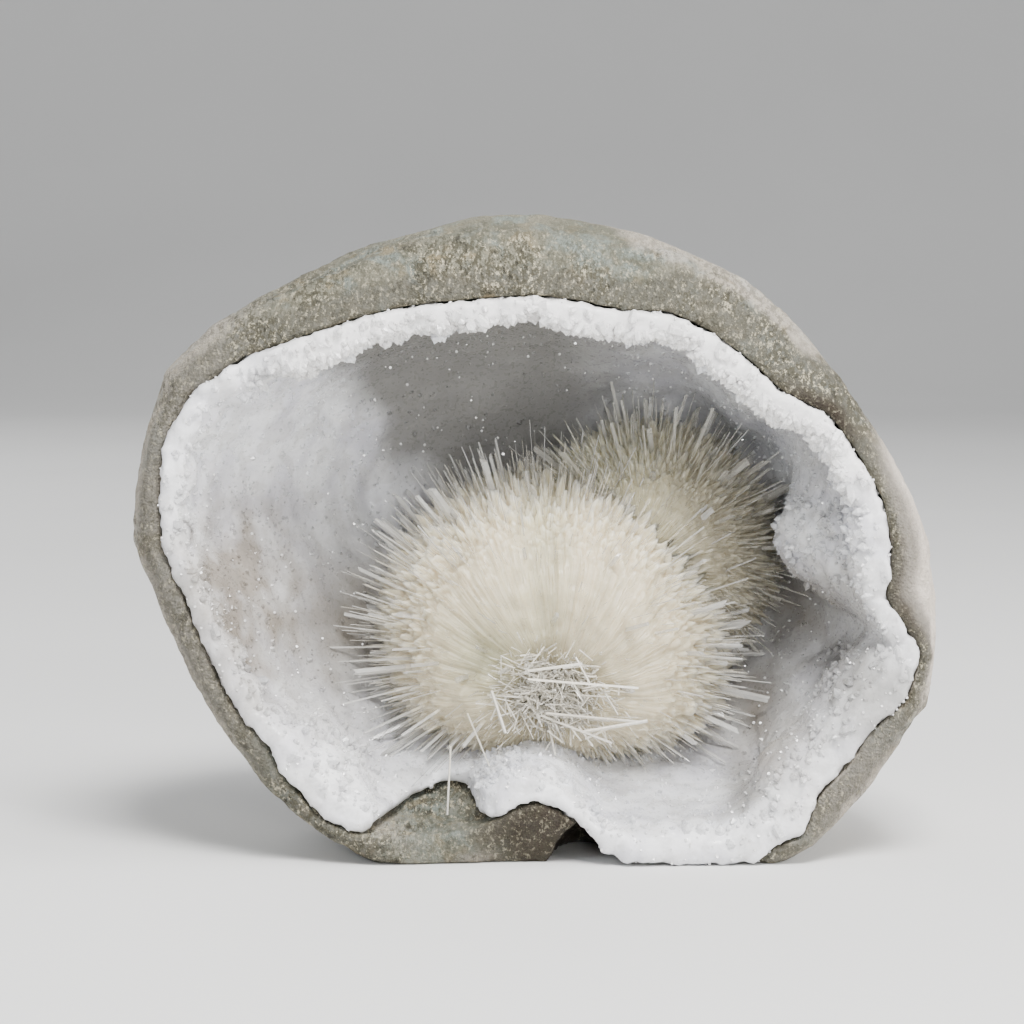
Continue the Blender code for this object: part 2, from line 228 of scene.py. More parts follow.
def grit_group():
    """A fine uneven height: coarse bumps, fine grain and small pits."""
    group, given, height = new_group("Grit height", "Height", coarse=500.0, fine=2500.0, pits=0.4)
    coarse = noise_value(group, given["coarse"], detail=2.0)
    fine = noise_value(group, given["fine"], detail=1.0)
    cells = group.nodes.new("ShaderNodeTexVoronoi")
    feed(group, cells.inputs["Vector"], object_place(group))
    feed(group, cells.inputs["Scale"], given["fine"])
    pits = product(group, cells.outputs["Distance"], given["pits"])
    bumps = added(group, coarse, product(group, fine, 0.5))
    feed(group, height, added(group, bumps, pits))
    return group


def fibres_group():
    """Fine ridges that run outwards from the middle of a ball's front, like the sides of
    needles that are grown together. The place round that middle is painted on the mesh."""
    group, given, height = new_group("Radial fibres", "Height", scale=20.0)
    turned = group.nodes.new("ShaderNodeVertexColor")
    turned.layer_name = "fibre"
    place = turned.outputs["Color"]
    feed(group, height, noise_value(group, given["scale"], detail=2.0, rough=0.5, place=place))
    return group


CLOUDS = clouds_group()
GRAINS = grains_group()
GRIT = grit_group()
FIBRES = fibres_group()


def placed(tree, group, **values):
    """A shared group, placed in a material with its own values."""
    node = tree.nodes.new("ShaderNodeGroup")
    node.node_tree = group
    for label, value in values.items():
        node.inputs[label].default_value = value
    return node.outputs[0]


def bump(tree, height, distance):
    """A normal that is tilted by a height."""
    node = tree.nodes.new("ShaderNodeBump")
    node.inputs["Strength"].default_value = 1.0
    node.inputs["Distance"].default_value = distance
    feed(tree, node.inputs["Height"], height)
    return node.outputs["Normal"]


def painted(tree, name, channel):
    """One channel of a colour that was painted on the mesh's points."""
    node = tree.nodes.new("ShaderNodeVertexColor")
    node.layer_name = name
    split = tree.nodes.new("ShaderNodeSeparateColor")
    tree.links.new(node.outputs["Color"], split.inputs[0])
    return split.outputs[channel]


def uneven_gloss(tree, scale, smooth, rough):
    """A roughness that wanders between two values."""
    value = noise_value(tree, scale, detail=1.0)
    return ramp(tree, value, 0.35, 0.65, smooth, rough)


def new_material(name, **constants):
    """A material with its node tree and its Principled shader, whose constants are set."""
    material = bpy.data.materials.new(name)
    material.use_nodes = True
    shader = material.node_tree.nodes["Principled BSDF"]
    for label, value in constants.items():
        shader.inputs[label.replace("_", " ")].default_value = value
    return material, material.node_tree, shader


# Materials

# The stone's mineral grains, in the order in which they lie on it: their scale and stretch, how
# much of the noise they fill, their strength and their display colour.
STONE_GRAINS = (
    (1500.0, 0.22, 0.46, 0.54, 0.88, (68, 65, 52)),
    (1900.0, 0.28, 0.54, 0.62, 0.80, (184, 176, 152)),
    (900.0, 0.35, 0.56, 0.64, 0.90, (44, 42, 34)),
)


def stone_colour(tree, speckled, mossy):
    """The stone's colour under its grains: clouds, pale skin with painted shade near its top, moss,
    ochre, dark edge, and rust with painted shade in the arch.
    """
    clouds = placed(tree, CLOUDS, scale=85.0, low=0.38, high=0.62)
    body = mixed(tree, clouds, srgb(98, 98, 85), srgb(121, 118, 103))
    bluish = placed(tree, CLOUDS, scale=230.0, low=0.50, high=0.68)
    body = mixed(tree, bluish, body, srgb(116, 123, 116))
    edge, skin_and_top_shade, rust_and_arch_shade = (painted(tree, "zones", channel) for channel in range(3))
    # pale skin, with painted shade near the top of the right side
    body = mixed(tree, skin_and_top_shade, body, srgb(204, 193, 181))
    body = tinted(tree, body, mossy, 0.6, (98, 108, 102))
    ochre = placed(tree, CLOUDS, scale=330.0, low=0.54, high=0.66)
    body = tinted(tree, body, product(tree, ochre, speckled), 0.6, (130, 114, 82))
    body = tinted(tree, body, edge, 0.75, (82, 80, 73))
    # rust stain, and painted shade in the arch at the foot
    return tinted(tree, body, rust_and_arch_shade, 0.92, (44, 36, 28))


def basalt_material():
    """Weathered basalt: grey-green and beige, finely speckled, darker on its broken edge."""
    material, tree, shader = new_material("basalt")
    shader.inputs["Specular IOR Level"].default_value = 0.3
    speckled, mossy = (painted(tree, "wear", channel) for channel in range(2))
    body = stone_colour(tree, speckled, mossy)
    for scale, stretch, low, high, strength, colour in STONE_GRAINS:
        grains = placed(tree, GRAINS, scale=scale, stretch=stretch, low=low, high=high)
        body = tinted(tree, body, product(tree, grains, speckled), strength, colour)
    feed(tree, shader.inputs["Base Color"], body)
    rough = ramp(tree, noise_value(tree, 700.0), 0.3, 0.7, 0.70, 0.95)
    feed(tree, shader.inputs["Roughness"], rough)
    grit = placed(tree, GRIT, coarse=900.0, fine=3200.0, pits=0.8)
    feed(tree, shader.inputs["Normal"], bump(tree, grit, 0.22 * MM))
    return material


def quartz_material(name, tint, rough, clear, grain=0.0):
    """Sugary quartz: white, greyed by painted shade on the roof and deep in the hollow, and whitest
    at the rim.
    clear is its transmission, and grain the height of its fine bumps."""
    material, tree, shader = new_material(name, Metallic=0.0, IOR=1.54)
    shader.inputs["Transmission Weight"].default_value = clear
    clouds = placed(tree, CLOUDS, scale=130.0, low=0.36, high=0.62)
    body = mixed(tree, clouds, srgb(*tint), srgb(236, 237, 240))
    patchy = placed(tree, CLOUDS, scale=300.0, low=0.50, high=0.58)
    body = tinted(tree, body, patchy, 0.35, (184, 182, 180))
    warm, painted_shade, white = (painted(tree, "zones", channel) for channel in range(3))
    # painted shade: grey on the roof, deep in the hollow and in the shaded spots
    body = mixed(tree, painted_shade, body, srgb(116, 115, 112))
    body = tinted(tree, body, warm, 0.88, (118, 108, 94))
    body = tinted(tree, body, white, 0.82, (247, 245, 243))
    feed(tree, shader.inputs["Base Color"], body)
    gloss = uneven_gloss(tree, 1900.0, rough * 0.5, rough * 1.5)
    feed(tree, shader.inputs["Roughness"], gloss)
    if grain:
        height = placed(tree, GRIT, coarse=600.0, fine=1500.0, pits=0.2)
        feed(tree, shader.inputs["Normal"], bump(tree, height, grain))
    return material


def fibre_height(tree):
    """The height of the fibres on a ball's body: fine ridges on coarser ones."""
    fine = product(tree, placed(tree, FIBRES, scale=26.0), 0.6)
    coarse = product(tree, placed(tree, FIBRES, scale=9.0), 0.4)
    return added(tree, fine, coarse)


def needle_material(name, root, tip, rough, clear=0.0, milk=0.0, faint=1.0):
    """Scolecite: root and tip are its display colours, clear its transmission and milk its
    subsurface share. Where it is milky it shows its fibres, with painted shade in their
    grooves. faint is the tips' alpha."""
    material, tree, shader = new_material(name, Metallic=0.0, IOR=1.52)
    shader.inputs["Subsurface Weight"].default_value = milk
    shader.inputs["Subsurface Radius"].default_value = (1.0, 0.97, 0.92)
    shader.inputs["Subsurface Scale"].default_value = 2.6 * MM
    shader.inputs["Transmission Weight"].default_value = clear
    along, each = (painted(tree, "growth", channel) for channel in range(2))
    green, shade_and_dark_tone = (painted(tree, "tone", channel) for channel in range(2))
    body = mixed(tree, ramp(tree, along, 0.45, 1.0), srgb(*root), srgb(*tip))
    body = mixed(tree, green, body, srgb(194, 190, 156))
    # painted shade on the back ball's right and in the front ball's crater and fan; a random darker
    # tone on the broken needles
    body = mixed(tree, shade_and_dark_tone, body, srgb(138, 129, 114))
    body = tinted(tree, body, each, 0.22, (255, 253, 248))
    if milk:
        height = fibre_height(tree)
        # painted shade in the grooves between the fibres
        painted_groove_shade = ramp(tree, height, 0.60, 0.40)
        body = tinted(tree, body, painted_groove_shade, 0.34, (176, 170, 146))
        feed(tree, shader.inputs["Normal"], bump(tree, height, 1.2 * MM))
    feed(tree, shader.inputs["Base Color"], body)
    gloss = uneven_gloss(tree, 1300.0, rough * 0.6, rough * 1.5)
    feed(tree, shader.inputs["Roughness"], gloss)
    if faint < 1.0:
        feed(tree, shader.inputs["Alpha"], ramp(tree, along, 0.35, 1.0, 0.95, faint))
    return material


def floor_material():
    """Plain pale paper."""
    material, tree, shader = new_material("pale_floor", Roughness=0.9)
    patches = placed(tree, CLOUDS, scale=6.0, low=0.3, high=0.7)
    paper = mixed(tree, patches, srgb(226, 226, 225), srgb(229, 229, 228))
    feed(tree, shader.inputs["Base Color"], paper)
    return material


# Meshes

def piece_of(name, mesh, materials):
    """Puts a mesh in the scene as a piece with its materials, on the one body."""
    piece = bpy.data.objects.new(name, mesh)
    bpy.context.scene.collection.objects.link(piece)
    for material in materials:
        mesh.materials.append(material)
    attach(piece, "root")
    return piece


def vectors_of(points, label):
    """One vector of each point, as an array."""
    vectors = np.empty(len(points) * 3, dtype=np.float32)
    points.foreach_get(label, vectors)
    return vectors.reshape(-1, 3).astype(float)


def points_of(mesh):
    """The places of the mesh's points."""
    return vectors_of(mesh.vertices, "co")


def normals_of(mesh):
    """The normals at the mesh's points."""
    return vectors_of(mesh.vertex_normals, "vector")


def move_points(mesh, places):
    """Gives the mesh's points new places."""
    mesh.vertices.foreach_set("co", places.astype(np.float32).ravel())
    mesh.update()


def refined(node, name, voxel, smoothing):
    """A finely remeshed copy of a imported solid, with its facets smoothed away."""
    source = bmesh.new()
    source.from_mesh(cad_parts[node].data)
    bmesh.ops.remove_doubles(source, verts=source.verts, dist=0.00001)
    mesh = bpy.data.meshes.new(name)
    source.to_mesh(mesh)
    source.free()
    draft = bpy.data.objects.new(name + "_draft", mesh)
    bpy.context.scene.collection.objects.link(draft)
    remesh = draft.modifiers.new("fine", "REMESH")
    remesh.mode = "VOXEL"
    remesh.voxel_size = voxel
    smooth = draft.modifiers.new("smooth", "SMOOTH")
    smooth.factor = 0.5
    smooth.iterations = smoothing
    graph = bpy.context.evaluated_depsgraph_get()
    fine = bpy.data.meshes.new_from_object(draft.evaluated_get(graph))
    fine.materials.clear()
    bpy.data.objects.remove(draft)
    return fine


def paint(mesh, name, channels):
    """Paints up to three values on the mesh's points."""
    layer = mesh.color_attributes.new(name, "FLOAT_COLOR", "POINT")
    colours = np.ones((len(mesh.vertices), 4), dtype=np.float32)
    for index, channel in enumerate(channels):
        colours[:, index] = channel
    layer.data.foreach_set("color", colours.ravel())


def step(values, low, high):
    """A smooth step from 0 at low to 1 at high."""
    share = np.clip((values - low) / (high - low), 0.0, 1.0)
    return share * share * (3 - 2 * share)


def sampled_noise(places, scale, octaves):
    """Noise at each place, about -1 to 1."""
    out = np.empty(len(places))
    for index, place in enumerate(places):
        spot = Vector(place) * scale
        value, weight = 0.0, 1.0
        for _ in range(octaves):
            value += noise.noise(spot) * weight
            spot = spot * 2.1
            weight *= 0.5
        out[index] = value
    return out


def sampled_domes(places, scale):
    """Rounded cells like a bunch of grapes, 0 in the grooves and 1 on the tops."""
    out = np.empty(len(places))
    for index, place in enumerate(places):
        nearest = noise.voronoi(Vector(place) * scale)[0][0]
        out[index] = max(0.0, 1.0 - nearest * nearest)
    return out


def tree_of(mesh):
    """A search tree over a mesh."""
    shape = bmesh.new()
    shape.from_mesh(mesh)
    tree = BVHTree.FromBMesh(shape)
    shape.free()
    return tree


def blob(places, x, height, wide, tall):
    """1 at a place of the picture plane, in mm, and soft towards its edge."""
    across = (places[:, 0] - x * MM) / (wide * MM)
    up = (places[:, 2] - height * MM) / (tall * MM)
    return np.exp(-(across**2 + up**2))


def unit(ways):
    """Each way, made one long."""
    return ways / np.linalg.norm(ways, axis=1)[:, None]


def inward_share(places, facing):
    """How much a place of the lining faces the middle of the hollow."""
    return (facing * unit(np.array(HOLLOW) - places)).sum(axis=1)


def open_share(places, facing):
    """1 where a point of the lining faces the hollow, 0 at its back and on its edge."""
    return step(inward_share(places, facing), 0.05, 0.35)


def lip_depth(places):
    """How far behind the leaning plane of the opening a place is."""
    return places[:, 1] + OPENING_FRONT - places[:, 2] * OPENING_LEAN


# The stone. away is each point's distance from the quartz.

def dark_band(places, away):
    """1 on the dark inner band of the broken edge, above the right half of the roof."""
    x, height = places[:, 0], places[:, 2]
    reach = (2.2 + 3.6 * step(x, 10 * MM, 18 * MM)) * MM
    band = step(x, -3 * MM, 3 * MM) * step(x, 44 * MM, 38 * MM) * step(height, 44 * MM, 50 * MM)
    wander = sampled_noise(places, 300.0, 2) * 0.5 * MM
    return band * (1 - step(away + wander, 0.8 * reach, 1.1 * reach))


def skin_and_top_shade_share(places, away, broken):
    """Where the stone has its smoother pale skin: on the right, at the left edge, in patches. Near
    the top it is halved, a painted shade.
    """
    x, height = places[:, 0], places[:, 2]
    right = step(x, 14 * MM, 26 * MM) * step(height, 14 * MM, 24 * MM)
    # the pale skin is halved near the top: painted shade that darkens the top of the right side
    skin_and_top_shade = right * step(away, 0.6 * MM, 2.0 * MM) * (1 - 0.5 * step(height, 45 * MM, 60 * MM))
    skin_and_top_shade = np.maximum(skin_and_top_shade, blob(places, 39, 9, 9, 10) * 0.6)
    skin_and_top_shade = np.maximum(skin_and_top_shade, step(-x, 30 * MM, 42 * MM) * 0.42)
    patches = step(sampled_noise(places, 60.0, 5), 0.05, 0.50) * (1 - broken)
    return np.maximum(skin_and_top_shade, 0.45 * patches)


def rust_and_arch_shade_share(places, away):
    """Where the stone is darkest brown: a rust stain beside the lining's right, and painted shade
    in the arch at the foot.
    """
    side = blob(places, 34, 54, 6, 5) * 1.3 + blob(places, 45, 32, 3, 7)
    side = np.clip(side, 0, 1) * (1 - step(away, 1.2 * MM, 2.6 * MM))
    # painted shade in the arch at the foot
    arch = np.clip(1.3 * blob(places, 1, 3, 7, 7), 0, 1) * (1 - step(away, 9 * MM, 12 * MM))
    return np.maximum(side, arch)


def speckled_share(places, facing, away, skin_and_top_shade, rust_and_arch_shade):
    """Where the mineral grains show: near the quartz and on the foot, less on the skin."""
    foot = step(places[:, 2], 11 * MM, 5 * MM) * step(-facing[:, 1], 0.1, 0.5)
    speckled = np.maximum(step(away, 13 * MM, 6 * MM), 0.75 * foot)
    speckled *= 0.55 + 0.45 * step(sampled_noise(places, 120.0, 2), -0.2, 0.25)
    return np.maximum(speckled * (1 - 0.8 * skin_and_top_shade), 0.12) * (1 - 0.6 * rust_and_arch_shade)


def stone_relief(places, away, speckled):
    """How far the grain stands out of the stone, and its chips go into it."""
    coarse, fine = sampled_noise(places, 260.0, 3), sampled_noise(places, 900.0, 2)
    grain = coarse * (0.20 + 0.30 * speckled) + fine * (0.06 + 0.16 * speckled)
    chips = (1 - sampled_domes(places, 85.0)) + 0.4 * (1 - sampled_domes(places, 240.0))
    chips *= step(away, 6 * MM, 12 * MM)
    return (np.where(grain > 0, 0.6, 1.0) * grain - 0.7 * chips) * MM


def cut_back(places):
    """How far the stone is cut back behind the lip, where that reaches down to the foot."""
    x, height = places[:, 0], places[:, 2]
    under = step(x, 3 * MM, 8 * MM) * step(x, 29 * MM, 26 * MM) * step(height, 4 * MM, 2 * MM)
    return under * step(lip_depth(places), 3 * MM, 1 * MM) * 1.6 * MM


def basalt(crust_tree, material):
    """The stone, with its ground skin, its broken edge and its bare cavity."""
    mesh = refined("basalt_shell", "basalt_matrix", BASALT_VOXEL, smoothing=3)
    places, facing = points_of(mesh), normals_of(mesh)
    away = np.array([crust_tree.find_nearest(Vector(place))[3] for place in places])
    broken = step(-facing[:, 1], 0.25, 0.6) * (1 - step(away, 2.6 * MM, 4.6 * MM))
    cavity = step(away, 2.5 * MM, 0.8 * MM) * (1 - step(-facing[:, 1], 0.2, 0.5))
    band = dark_band(places, away)
    mossy = blob(places, -13, 6, 5, 5)  # the bare patch that shows the stone low on the left
    skin_and_top_shade = skin_and_top_shade_share(places, away, broken) * (1 - band) * (1 - mossy)
    rust_and_arch_shade = rust_and_arch_shade_share(places, away)
    speckled = speckled_share(places, facing, away, skin_and_top_shade, rust_and_arch_shade)
    free = step(places[:, 2], 0.2 * MM, 1.4 * MM) * (1 - cavity)
    places += facing * (stone_relief(places, away, speckled) * free)[:, None]
    places[:, 1] += cut_back(places)
    places[:, 2] = np.maximum(places[:, 2], 0.0)
    move_points(mesh, places)
    # Painted: the dark broken edge, the pale skin with shade near its top, and rust with the arch's
    # painted shade.
    paint(mesh, "zones", (np.maximum(broken, band), skin_and_top_shade, rust_and_arch_shade))
    paint(mesh, "wear", (speckled, mossy))
    mesh.shade_smooth()
    piece = piece_of("basalt_matrix", mesh, [material])
    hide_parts("basalt_shell")
    return piece


# The quartz

def evened(mesh, places, weight, rounds):
    """The places of a mesh's points, drawn towards their neighbours where weight is 1."""
    ends = np.empty(len(mesh.edges) * 2, dtype=np.int32)
    mesh.edges.foreach_get("vertices", ends)
    first, second = ends.reshape(-1, 2).T
    count = np.bincount(ends, minlength=len(places))
    for _ in range(rounds):
        middle = np.zeros_like(places)
        for axis in range(3):
            middle[:, axis] = np.bincount(first, places[second, axis], len(places))
            middle[:, axis] += np.bincount(second, places[first, axis], len(places))
        middle /= count[:, None]
        places = places + (middle - places) * (0.6 * weight)[:, None]
    return places


def painted_shade_share(places):
    """Painted shade that greys the quartz: the roof and the depth behind, spots in the recesses and
    beside the balls, and the lump of the lip low on the right.
    """
    x, height = places[:, 0], places[:, 2]
    wander = sampled_noise(places, 130.0, 3) * 3.0 * MM
    side = 0.856 * (x + 22 * MM) + 0.516 * (height - 54.5 * MM) + wander
    painted_shade = 0.94 * step(side, -3.5 * MM, 4.0 * MM) * step(height + wander, 30 * MM, 42 * MM)
    painted_shade *= 1 - 0.62 * step(x + wander, 0 * MM, 18 * MM)
    painted_shade *= step(lip_depth(places), 1.0 * MM, 4.0 * MM)
    for spot in PAINTED_SHADE_SPOTS:
        spread = blob(places, *spot[:4]) * spot[4] * step(lip_depth(places), 0.4 * MM, 2.0 * MM)
        painted_shade = np.maximum(painted_shade, spread)
    return np.maximum(painted_shade, blob(places, *DULL_LIP[:4]) * DULL_LIP[4])


def warm_share(places):
    """Where the quartz is stained beige: low on the left wall and in the right recess."""
    stained = blob(places, -37, 34, 8, 9) * 1.0 + blob(places, 34, 29, 7, 6) * 0.55
    stained += blob(places, -34, 23, 8, 7) * 0.5 + blob(places, 28, 15, 6, 8) * 0.6
    stained += blob(places, -23, 25, 7, 10) * 0.35
    return np.clip(stained * (1 + 0.5 * sampled_noise(places, 300.0, 2)), 0, 1)


def crown_share(places):
    """1 along the roof's rim and the upper right, where the lip stands out."""
    x, height = places[:, 0], places[:, 2]
    return step(height, 40 * MM, 50 * MM) * step(x, -35 * MM, -27 * MM)


def white_share(places):
    """The rim of the opening, and the rough tongue low on the left, are whitest."""
    wander = sampled_noise(places, 240.0, 2) * 1.0 * MM
    rim = step(lip_depth(places) + wander, 1.2 * MM, 0.2 * MM)
    rim *= 0.30 + 0.70 * crown_share(places)
    tongue = np.maximum(blob(places, -27, 9, 8, 8) * 0.6, blob(places, 33, 7, 5, 7) * 0.6)
    return np.maximum(rim, tongue)


def blocky_share(places):
    """Where the crust stands in rough blocky lumps: the right side and the low left."""
    out = 0.25 * crown_share(places) * step(lip_depth(places), 4 * MM, 1.5 * MM)
    for spot in BLOCKY_SPOTS:
        out = np.maximum(out, blob(places, *spot))
    return out


def crust_relief(places, shown, painted_shade):
    """How far the crust's swellings, blocks and lip stand out of its even surface."""
    swell = sampled_domes(places, 170.0) + sampled_domes(places + 0.5, 430.0) * 0.40
    blocks = sampled_domes(places + 0.2, 480.0) * 1.1 + sampled_domes(places, 900.0) * 0.5
    # the swellings are flattened where the shade is painted
    rise = ((swell - 0.9) * (1 - 0.93 * painted_shade) + blocks * blocky_share(places)) * shown
    lip = step(lip_depth(places), 1.8 * MM, 0.7 * MM)
    scallops = sampled_domes(places, 420.0) * 0.7 + sampled_noise(places, 900.0, 2) * 0.4
    rise += lip * shown * scallops * (0.10 + 0.55 * crown_share(places))
    rise += (sampled_noise(places, 800.0, 3) * 0.40 + 0.20) * (1 - shown) * lip
    return rise * MM


def lip_drop(places):
    """How far the lip hangs down, where it reaches the foot."""
    x, height = places[:, 0], places[:, 2]
    over = step(x, 4 * MM, 8 * MM) * step(x, 29 * MM, 26 * MM)
    over *= step(lip_depth(places), 2.5 * MM, 1.0 * MM) * step(height, 4.0 * MM, 1.8 * MM)
    return over * 1.35 * MM


def quartz_lining(material):
    """The quartz crust: soft swellings, and a thick uneven lip round the opening."""
    mesh = refined("quartz_crust", "quartz_lining", QUARTZ_VOXEL, smoothing=5)
    places = points_of(mesh)
    shown = open_share(places, normals_of(mesh))
    inner = shown * step(lip_depth(places), 1.5 * MM, 4.0 * MM)
    places = evened(mesh, places, inner, rounds=24)
    move_points(mesh, places)
    painted_shade = painted_shade_share(places)
    places += normals_of(mesh) * crust_relief(places, shown, painted_shade)[:, None]
    places[:, 2] -= lip_drop(places)
    places[:, 2] = np.maximum(places[:, 2], 0.1 * MM)
    move_points(mesh, places)
    # Painted on the lining: a beige stain, painted shade, and the white rim.
    paint(mesh, "zones", (warm_share(places), painted_shade, white_share(places)))
    mesh.shade_smooth()
    piece = piece_of("quartz_lining", mesh, [material])
    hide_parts("quartz_crust")
    return piece


def rim_weight(centres, facing):
    """Crystals along the opening's edge and its inner side, and on the blocky lumps."""
    near = step(lip_depth(centres), 1.8 * MM, 0.4 * MM) * (0.10 + 0.90 * crown_share(centres))
    near = np.maximum(near, 0.30 * np.maximum(blocky_share(centres) - 0.4, 0))
    return near * step(inward_share(centres, facing), -0.2, 0.3)


def wall_weight(left):
    """Crystals all over the open lining, on its left or its right half."""
    def weigh(centres, facing):
        half = centres[:, 0] < 0 if left else centres[:, 0] >= 0
        # fewer crystals where the shade is painted
        bare = 1 - 0.85 * painted_shade_share(centres)
        return open_share(centres, facing) * half * bare
    return weigh


def glint_weight(centres, turned):
    """The open lining where it is turned to the front, and more of it near the rim."""
    shown = step(turned, -0.15, 0.4)
    return shown * (0.5 + step(lip_depth(centres), 9 * MM, 2 * MM))


def triangles_of(mesh):
    """The corners of the mesh's triangles, and their areas and normals."""
    mesh.calc_loop_triangles()
    count = len(mesh.loop_triangles)
    corner = np.empty(count * 3, dtype=np.int32)
    mesh.loop_triangles.foreach_get("vertices", corner)
    corner = corner.reshape(-1, 3)
    a, b, c = (points_of(mesh)[corner[:, side]] for side in range(3))
    cross = np.cross(b - a, c - a)
    double = np.linalg.norm(cross, axis=1)
    return a, b, c, double / 2, cross / np.maximum(double, 1e-12)[:, None]


def scattered(mesh, count, rand, weigh):
    """Random places on the mesh, with normals. weigh gives each triangle's share."""
    a, b, c, area, facing = triangles_of(mesh)
    weight = area * weigh((a + b + c) / 3, facing)
    chosen = rand.choice(len(area), size=count, p=weight / weight.sum())
    u, v = rand.random(count), rand.random(count)
    flip = u + v > 1
    u[flip], v[flip] = 1 - u[flip], 1 - v[flip]
    a, b, c = a[chosen], b[chosen], c[chosen]
    return a + (b - a) * u[:, None] + (c - a) * v[:, None], facing[chosen]


def frames_about(ways, rand):
    """Two unit vectors across each way, turned at random about it."""
    helper = np.where(np.abs(ways[:, 2:3]) < 0.9, [[0.0, 0.0, 1.0]], [[1.0, 0.0, 0.0]])
    side = unit(np.cross(ways, helper))
    other = np.cross(ways, side)
    turn = rand.random(len(ways))[:, None] * TURN
    return side * np.cos(turn) + other * np.sin(turn), other * np.cos(turn) - side * np.sin(turn)


def joined_mesh(name, rings, caps, layers):
    """One mesh of many closed rods, and the faces of one rod. rings holds arrays of rod, side
    and place, from the root to the tip. caps says whether the tip is a face or a point."""
    count, sides = rings[0].shape[:2]
    per_rod = sum(ring.shape[1] for ring in rings)
    places = np.concatenate(rings, axis=1).reshape(-1, 3)
    faces = []
    start = 0
    pattern = [list(range(sides))[::-1]]
    for lower, upper in zip(rings[:-1], rings[1:]):
        for side in range(sides):
            after = (side + 1) % sides
            low, low_after = start + side, start + after
            if upper.shape[1] == 1:
                pattern.append([low, low_after, start + sides])
            else:
                pattern.append([low, low_after, low_after + sides, low + sides])
        start += lower.shape[1]
    if caps:
        pattern.append([start + side for side in range(sides)])
    for rod in range(count):
        base = rod * per_rod
        faces.extend([[base + corner for corner in face] for face in pattern])
    mesh = bpy.data.meshes.new(name)
    mesh.from_pydata(places.tolist(), [], faces)
    for layer, channels in layers:
        paint(mesh, layer, channels)
    return mesh, len(pattern)


def ring_about(centre, side, other, width, thick, sides):
    """A polygon of the given width and thickness about each centre."""
    out = []
    for corner in range(sides):
        angle = TURN * corner / sides
        across = side * (np.cos(angle) * width)[:, None]
        along = other * (np.sin(angle) * thick)[:, None]
        out.append(centre + across + along)
    return np.stack(out, axis=1)


def quartz_points(name, lining, count, seed, weigh, material, width_range, length_range, tilt):
    """Many small six-sided quartz crystals, rooted in the lining. Lengths are in widths."""
    rand = np.random.default_rng(seed)
    places, facing = scattered(lining.data, count, rand, weigh)
    ways = unit(facing + rand.normal(size=facing.shape) * tilt)
    low, high = width_range
    width = low + (high - low) * rand.random(count) ** 2.2
    tall = width * rand.uniform(*length_range, size=count)
    side, other = frames_about(ways, rand)
    root = places - ways * (width * 0.9)[:, None]
    shoulder = places + ways * (tall - width * 0.55)[:, None]
    lean = side * (rand.normal(size=count) * width * 0.12)[:, None]
    point = places + ways * tall[:, None] + lean
    rings = [
        ring_about(centre, side, other, width / 2, width / 2, CRYSTAL_SIDES)
        for centre in (root, shoulder)
    ]
    rings.append(point[:, None, :])
    corners = 2 * CRYSTAL_SIDES + 1
    # the crystals carry the lining's stain, painted shade and white
    zones = [np.repeat(share(places), corners) for share in (warm_share, painted_shade_share, white_share)]
    mesh, _ = joined_mesh(name, rings, False, [("zones", zones)])
    return piece_of(name, mesh, [material])


def quartz_glints(lining, count, seed, material):
    """Small crystals whose flat ends happen to face between the front light and the view."""
    rand = np.random.default_rng(seed)
    toward = np.array((Vector(FRONT_PLACE).normalized() + Vector((0, -1, 0.08))).normalized())
    places, facing = scattered(
        lining.data, count, rand, lambda centres, ways: glint_weight(centres, ways @ toward)
    )
    ways = unit(toward + rand.normal(size=facing.shape) * 0.04)
    width = rand.uniform(0.07, 0.20, count) * MM
    side, other = frames_about(ways, rand)
    rings = []
    for height, girth in ((-0.30, 1.2), (0.10, 0.9)):
        centre = places + (ways * height + facing * 0.10) * MM
        rings.append(ring_about(centre, side, other, width * girth, width * girth, CRYSTAL_SIDES))
    # painted with the rim's full white: a painted sparkle, even where a crystal does not catch the
    # front light
    mesh, _ = joined_mesh("quartz_glints", rings, True, [("zones", (0.0, 0.0, 1.0))])
    return piece_of("quartz_glints", mesh, [material])


# The scolecite

def spread_directions(count, rand):
    """Directions spread evenly and irregularly over a whole sphere."""
    index = np.arange(count) + 0.5
    up = 1 - 2 * index / count
    turn = index * math.pi * (1 + 5**0.5) + rand.normal(size=count) * 0.05
    flat = np.sqrt(1 - up * up)
    ways = np.stack([flat * np.cos(turn), flat * np.sin(turn), up], axis=1)
    return unit(ways + rand.normal(size=ways.shape) * 0.02)


def room_along(middle, ways, longest, lining_tree, rooted):
    """How far each way can go from the middle before it is rooted in the quartz."""
    room = np.full(len(ways), longest)
    for index, way in enumerate(ways):
        hit = lining_tree.ray_cast(middle, Vector(way), longest)[3]
        if hit is not None:
            room[index] = min(longest, hit + rooted)
    return room


